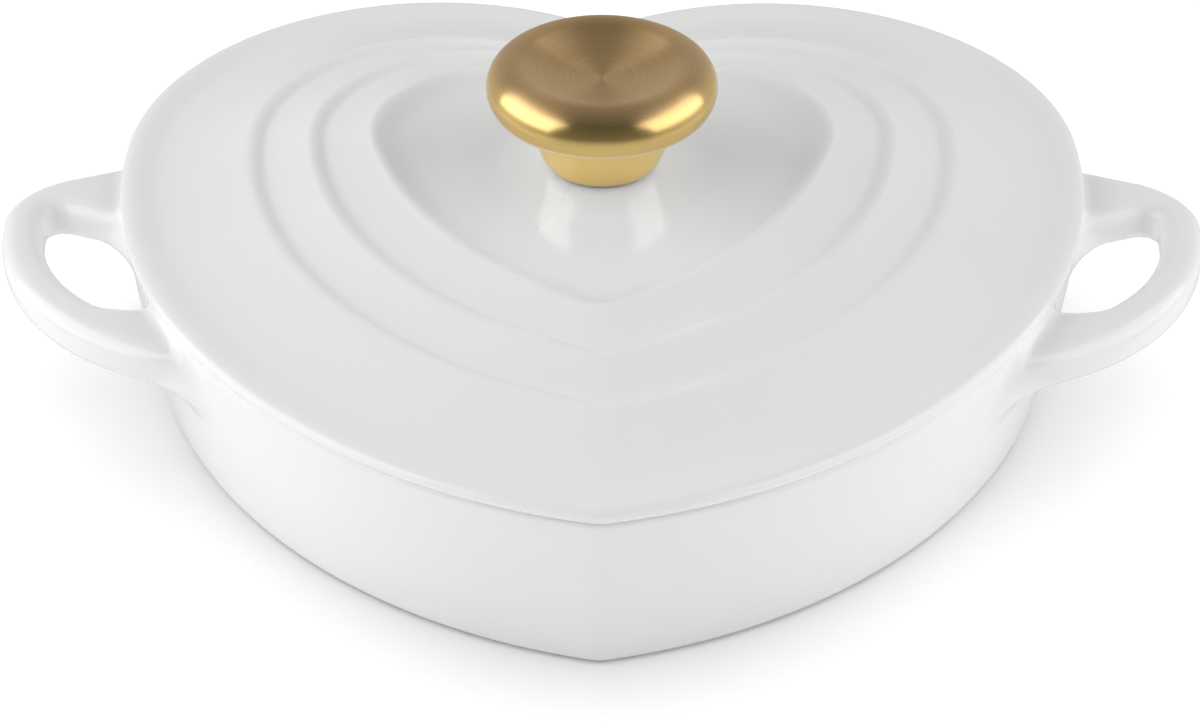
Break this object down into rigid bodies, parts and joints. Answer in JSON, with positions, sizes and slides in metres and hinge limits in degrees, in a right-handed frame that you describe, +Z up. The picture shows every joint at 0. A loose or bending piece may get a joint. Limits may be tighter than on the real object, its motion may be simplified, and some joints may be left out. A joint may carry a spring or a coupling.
{
  "type": "heart-shaped lidded casserole",
  "caption": "Shallow heart-shaped enamelled cast-iron casserole with two loop handles and a lift-off stepped lid with a gold metal knob.",
  "frame": {"origin": "on the surface it stands on, under the middle of the outline", "axes": "+Z up, +X to the right-hand handle, -Y towards the point of the heart; the object mirrors across the plane X = 0"},
  "size_m": [0.296, 0.2231, 0.0861],
  "materials": {
    "pot_enamel": "glossy white enamel",
    "lid_enamel": "glossy white enamel",
    "brushed_gold": "gold-coloured, turned and brushed",
    "polished_gold": "gold-coloured, polished",
    "seal_rubber": "matt",
    "insert_steel": "machined",
    "fastener_steel": "plain stainless"
  },
  "bodies": {
    "pot": {"pot_casting": "pot_enamel"},
    "lid": {"lid_casting": "lid_enamel", "knob_seal": "seal_rubber", "knob_stem": "polished_gold", "knob_cap": "brushed_gold", "knob_insert": "insert_steel", "screw_washer": "fastener_steel", "knob_screw": "fastener_steel"}
  },
  "joints": [
    {"name": "lid_lift", "type": "slide", "parent": "pot", "child": "lid", "axis": [0, 0, 1], "range_m": [0, 0.15]}
  ]
}
